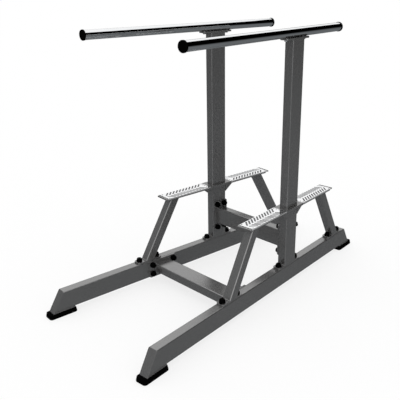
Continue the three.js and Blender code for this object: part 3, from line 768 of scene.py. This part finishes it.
crossmember("crossmember_front", -FRONT_CROSS_REACH, TUBE_LONG, TUBE_SHORT, FLANGE_LONG, FLANGE_SHORT)
crossmember("crossmember_rear", 0.0, TUBE_SHORT, TUBE_LONG, FLANGE_SHORT, FLANGE_LONG)


# Capped bolts
# Every bolt of the frame wears a black plastic cap, a low skirt under a tapered crown, pushed over
# its head. The shank goes on through the plate to a nut inside the tube.

CAP_SKIRT_RADIUS = 0.0165
CAP_SKIRT = 0.004
CAP_CROWN_RADIUS = 0.0125
CAP_HEIGHT = 0.019
CAP_CROWN_EDGE = 0.003
CAP_SKIRT_EDGE = 0.001
CAP_VERTICES = 32
CROWN_SEGMENTS = 4

black_plastic, shader = grained(
    "Black moulded plastic", dark=(0.0003, 0.0003, 0.0003), light=(0.0009, 0.0009, 0.0009),
    matt=0.62, gloss=0.5, pebble=0.0005, patch=0.01, bump=0.08)
shader.inputs["Specular IOR Level"].default_value = DULL_SPECULAR


def round_bar(name, radius, depth, vertices=CAP_VERTICES):
    """A round bar that stands on the origin."""
    bpy.ops.object.select_all(action="DESELECT")
    bpy.ops.mesh.primitive_cylinder_add(
        vertices=vertices, radius=radius, depth=depth, location=(0, 0, depth / 2))
    bar = bpy.context.object
    bar.name = name
    set_down(bar)
    return bar


bolt_pattern = round_bar("bolt_pattern", CAP_SKIRT_RADIUS, CAP_SKIRT)
pick_faces(bolt_pattern, faces_up)
draw_out(CAP_HEIGHT - CAP_SKIRT)
crown_share = CAP_CROWN_RADIUS / CAP_SKIRT_RADIUS
bpy.ops.transform.resize(value=(crown_share, crown_share, 1), center_override=(0, 0, CAP_HEIGHT))
bpy.ops.object.mode_set(mode="OBJECT")
round_edges(bolt_pattern, lies_at(2, CAP_HEIGHT), CAP_CROWN_EDGE, CROWN_SEGMENTS)
round_edges(bolt_pattern, lies_at(2, CAP_SKIRT), CAP_SKIRT_EDGE, FINE_SEGMENTS)


def capped_bolt(node, rotation, seat):
    """A cap whose skirt stands on the seat."""
    bolt = copy_of(bolt_pattern, f"cap_of_{node}")
    bolt.rotation_euler = rotation
    bolt.location = seat
    set_down(bolt)
    fit(bolt, black_plastic, node)


for word, side in SIDES.items():
    for end in ENDS:
        upright_nodes = [f"upright_bolt_{end}_{word}"]
        leg_nodes = [f"leg_{end}_bolt_{i}_{word}" for i in (1, 2)]
        for node in upright_nodes + leg_nodes:
            low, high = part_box(node)
            seat = (middle(node).x, middle(node).y, high.z - CAP_HEIGHT)
            capped_bolt(node, (0, 0, side * toe), seat)
        for i in (1, 2, 3, 4):
            node = f"crossmember_{end}_bolt_{i}_{word}"
            low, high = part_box(node)
            inner = Vector((-side * math.cos(toe), -math.sin(toe), 0))
            # The rim of the crown's turned face touches the inner side of the bolt's box, and the
            # middle of that face lies a little short of it
            tip = low.x if side > 0 else high.x
            centre = middle(node)
            crown_x = tip + side * CAP_CROWN_RADIUS * math.sin(toe)
            seat = Vector((crown_x, centre.y, centre.z)) - inner * CAP_HEIGHT
            seat.y = centre.y + (seat.x - centre.x) * side * math.tan(toe)
            capped_bolt(node, (0, -side * math.pi / 2, side * toe), seat)
bpy.data.objects.remove(bolt_pattern)


# Bars
# The two grip bars are round steel tube, chromium plated and polished, laid on the uprights' top
# plates.

BAR_RADIUS = 0.0225
BAR_WALL = 0.0025
BAR_FRONT_REACH = 0.791
BAR_REAR_REACH = 0.422
BAR_VERTICES = 96

chrome, shader = grained(
    "Polished chrome", dark=(0.86, 0.87, 0.88), light=(0.90, 0.91, 0.92),
    matt=0.035, gloss=0.02, pebble=0.0006, patch=0.08, bump=0.0)
shader.inputs["Metallic"].default_value = 1.0

bar_height = middle("bar_right").z
bar_length = BAR_FRONT_REACH + BAR_REAR_REACH
bar_pattern = round_bar("bar_pattern", BAR_RADIUS, bar_length, BAR_VERTICES)
bar_pattern.rotation_euler = (math.pi / 2, 0, 0)
bar_pattern.location = (0, BAR_REAR_REACH, bar_height)
set_down(bar_pattern)
bore = round_bar("bore", BAR_RADIUS - BAR_WALL, 2 * bar_length, BAR_VERTICES)
bore.rotation_euler = (math.pi / 2, 0, 0)
bore.location = (0, bar_length, bar_height)
set_down(bore)
cut(bar_pattern, bore)
for word, side in SIDES.items():
    bar = copy_of(bar_pattern, f"chromed_bar_{word}")
    stand_in_frame(bar, side)
    fit(bar, chrome, f"bar_{word}")
bpy.data.objects.remove(bar_pattern)


# Bar end caps
# A black plastic cap closes each end of a bar, with a round-edged head that stands proud of the
# tube and a plug pressed into it.

END_CAP_RADIUS = 0.025
END_CAP_LENGTH = 0.010
END_CAP_ROUND = 0.004
PLUG_LENGTH = 0.030

head_length = END_CAP_LENGTH - SEAT_GAP
end_cap = round_bar("end_cap_pattern", END_CAP_RADIUS, head_length, BAR_VERTICES)
round_edges(end_cap, lies_at(2, head_length), END_CAP_ROUND, CORNER_SEGMENTS)
plug_radius = BAR_RADIUS - BAR_WALL - SEAT_GAP
plug = round_bar("plug", plug_radius, PLUG_LENGTH, BAR_VERTICES)
plug.location = (0, 0, -PLUG_LENGTH)
set_down(plug)
end_cap = joined("end_cap_pattern", [end_cap, plug])
end_cap.rotation_euler = (math.pi / 2, 0, 0)
set_down(end_cap)
for word, side in SIDES.items():
    for end, turn in ENDS.items():
        reach = BAR_FRONT_REACH if end == "front" else BAR_REAR_REACH
        cap = copy_of(end_cap, f"moulded_bar_cap_{end}_{word}")
        cap.location = (0, -reach - SEAT_GAP, bar_height)
        set_down(cap)
        stand_in_frame(cap, side, turn)
        fit(cap, black_plastic, f"bar_cap_{end}_{word}")
bpy.data.objects.remove(end_cap)


# Bar bolts
# A bright zinc plated hexagon bolt goes up through each end of an upright's top plate into the bar
# and holds it down. Only its head shows, under the plate.

HEX_SIDES = 6
HEX_RADIUS = 0.0095
HEX_HEIGHT = 0.0067
HEX_CHAMFER = 0.0012
BOLT_RADIUS = 0.005

bright_steel, shader = grained(
    "Bright zinc plated steel", dark=(0.62, 0.63, 0.65), light=(0.78, 0.79, 0.81),
    matt=0.32, gloss=0.22, pebble=0.0006, patch=0.01, bump=0.05)
shader.inputs["Metallic"].default_value = 1.0

hex_bolt = round_bar("hex_pattern", HEX_RADIUS, HEX_HEIGHT, HEX_SIDES)
round_edges(hex_bolt, lies_at(2, 0), HEX_CHAMFER, FINE_SEGMENTS)
shank_low, shank_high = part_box("bar_bolt_front_right")
shank = round_bar("shank", BOLT_RADIUS, shank_high.z - shank_low.z - HEX_HEIGHT / 2)
shank.location = (0, 0, HEX_HEIGHT / 2)
set_down(shank)
hex_bolt = joined("hex_pattern", [hex_bolt, shank])
for word, side in SIDES.items():
    for end in ENDS:
        node = f"bar_bolt_{end}_{word}"
        low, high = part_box(node)
        bolt = copy_of(hex_bolt, f"plated_{node}")
        bolt.rotation_euler = (0, 0, side * toe)
        bolt.location = (middle(node).x, middle(node).y, low.z)
        set_down(bolt)
        fit(bolt, bright_steel, node)
bpy.data.objects.remove(hex_bolt)


# Studio
# A white floor under an even white sky lights the station. What its finishes mirror is a studio for
# polished metal instead: white overhead, a black wall behind, grey in front and below, and a dim
# window low down at the right.

STAGE_SIZE = 200.0
FLOOR_SHADE = 0.25
WHITE = (1.0, 1.0, 1.0)
BLACK = (0.0, 0.0, 0.0)
GREY_WALL = (0.200, 0.205, 0.210)
DARK_SIDE = (0.020, 0.021, 0.022)
GREY_GROUND = (0.130, 0.138, 0.144)
DIM_WINDOW = (0.45, 0.46, 0.47)

# In degrees, where a card begins and ends, or where one of its soft edges does
FRONT_EDGE = (-98, -102)
FRONT_TOP = (42, 34)
SIDE_SPAN = (90, 150)
SIDE_TOP = (17, 13)
BACK_SPAN = (20, 93)
BACK_TOP = (46, 45)
BACK_SOFTNESS = 2
HORIZON = (1, -1)
GROUND_FADE = (4, -20)
WINDOW_SPAN = (-60, -30)
WINDOW_RISE = (-40, -5)
SOFTNESS = 4


def set_or_link(tree, socket, value):
    if isinstance(value, bpy.types.NodeSocket):
        tree.links.new(value, socket)
    elif isinstance(value, tuple):
        socket.default_value = (*value, 1)
    else:
        socket.default_value = value


def worked_out(tree, operation, *values):
    """One step of arithmetic, on numbers or on what other nodes put out."""
    node = tree.nodes.new("ShaderNodeMath")
    node.operation = operation
    for socket, value in zip(node.inputs, values):
        set_or_link(tree, socket, value)
    return node.outputs["Value"]


def ramp(tree, value, start, end):
    """A soft ramp from 0 at the start to 1 at the end, both in degrees."""
    node = tree.nodes.new("ShaderNodeMapRange")
    node.interpolation_type = "SMOOTHSTEP"
    set_or_link(tree, node.inputs["Value"], value)
    node.inputs["From Min"].default_value = math.radians(start)
    node.inputs["From Max"].default_value = math.radians(end)
    return node.outputs["Result"]


def between(tree, value, low, high, soft=SOFTNESS):
    """1 between two angles in degrees, with soft edges outside them."""
    return worked_out(tree, "MULTIPLY", ramp(tree, value, low - soft, low),
                      ramp(tree, value, high + soft, high))


def hung(tree, backdrop, colour, mask):
    """The backdrop with a card of one colour hung before it where the mask is 1."""
    node = tree.nodes.new("ShaderNodeMix")
    node.data_type = "RGBA"
    set_or_link(tree, node.inputs["Factor"], mask)
    set_or_link(tree, node.inputs["A"], backdrop)
    set_or_link(tree, node.inputs["B"], colour)
    return node.outputs["Result"]


def mirrored_studio(tree):
    """What a mirror sees in each direction, by its bearing from +X and its height over the horizon."""
    place = tree.nodes.new("ShaderNodeTexCoord")
    split = tree.nodes.new("ShaderNodeSeparateXYZ")
    tree.links.new(place.outputs["Generated"], split.inputs["Vector"])
    x, y, z = split.outputs
    bearing = worked_out(tree, "ARCTAN2", y, x)
    height = worked_out(tree, "ARCSINE", z)
    front = worked_out(tree, "MULTIPLY", ramp(tree, bearing, *FRONT_EDGE),
                       ramp(tree, height, *FRONT_TOP))
    view = hung(tree, WHITE, GREY_WALL, front)
    side = worked_out(tree, "MULTIPLY", between(tree, bearing, *SIDE_SPAN),
                      ramp(tree, height, *SIDE_TOP))
    view = hung(tree, view, DARK_SIDE, side)
    back = worked_out(tree, "MULTIPLY", between(tree, bearing, *BACK_SPAN, BACK_SOFTNESS),
                      ramp(tree, height, *BACK_TOP))
    view = hung(tree, view, BLACK, back)
    ground = hung(tree, BLACK, GREY_GROUND, ramp(tree, height, *GROUND_FADE))
    view = hung(tree, view, ground, ramp(tree, height, *HORIZON))
    window = worked_out(tree, "MULTIPLY", between(tree, bearing, *WINDOW_SPAN),
                        between(tree, height, *WINDOW_RISE))
    return hung(tree, view, DIM_WINDOW, window)


white_floor = bpy.data.materials.new("White floor")
white_floor.use_nodes = True
shader = white_floor.node_tree.nodes["Principled BSDF"]
shader.inputs["Base Color"].default_value = (FLOOR_SHADE, FLOOR_SHADE, FLOOR_SHADE, 1)
shader.inputs["Roughness"].default_value = 1.0
shader.inputs["Specular IOR Level"].default_value = 0.0
shader.inputs["Emission Color"].default_value = (*WHITE, 1)
shader.inputs["Emission Strength"].default_value = 1 - FLOOR_SHADE
bpy.ops.object.select_all(action="DESELECT")
bpy.ops.mesh.primitive_plane_add(size=STAGE_SIZE)
floor = bpy.context.object
floor.name = "floor"
floor.data.materials.append(white_floor)
floor.visible_glossy = False
floor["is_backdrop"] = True

studio = bpy.data.worlds.new("Studio")
bpy.context.scene.world = studio
studio.use_nodes = True
studio.cycles.sampling_method = "NONE"
tree = studio.node_tree
sky = tree.nodes["Background"]
sky.inputs["Color"].default_value = (*WHITE, 1)
mirrored = tree.nodes.new("ShaderNodeBackground")
tree.links.new(mirrored_studio(tree), mirrored.inputs["Color"])
ray = tree.nodes.new("ShaderNodeLightPath")
choice = tree.nodes.new("ShaderNodeMixShader")
tree.links.new(ray.outputs["Is Glossy Ray"], choice.inputs[0])
tree.links.new(sky.outputs[0], choice.inputs[1])
tree.links.new(mirrored.outputs[0], choice.inputs[2])
tree.links.new(choice.outputs[0], tree.nodes["World Output"].inputs["Surface"])


# Camera
# It stands in front, to the right and above, and looks a little down, as in the photograph. A small
# shift of the lens puts the station in the frame where the photograph has it.

CAMERA_X = 2.05732
CAMERA_Y = -2.34874
CAMERA_Z = 1.61503
CAMERA_TURN = math.radians(43.699)
CAMERA_DOWN = math.radians(20.297)
SENSOR = 36.0
LENS = 53.137
SHIFT_X = -0.06639
SHIFT_Y = -0.01314

lens = bpy.data.cameras.new("camera")
lens.sensor_width = SENSOR
lens.lens = LENS
lens.shift_x = SHIFT_X
lens.shift_y = SHIFT_Y
camera = bpy.data.objects.new("camera", lens)
bpy.context.scene.collection.objects.link(camera)
camera.location = (CAMERA_X, CAMERA_Y + frame_y, CAMERA_Z)
camera.rotation_euler = (math.pi / 2 - CAMERA_DOWN, 0, CAMERA_TURN)
bpy.context.scene.camera = camera
bpy.context.scene.view_settings.view_transform = "Standard"

low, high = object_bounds()
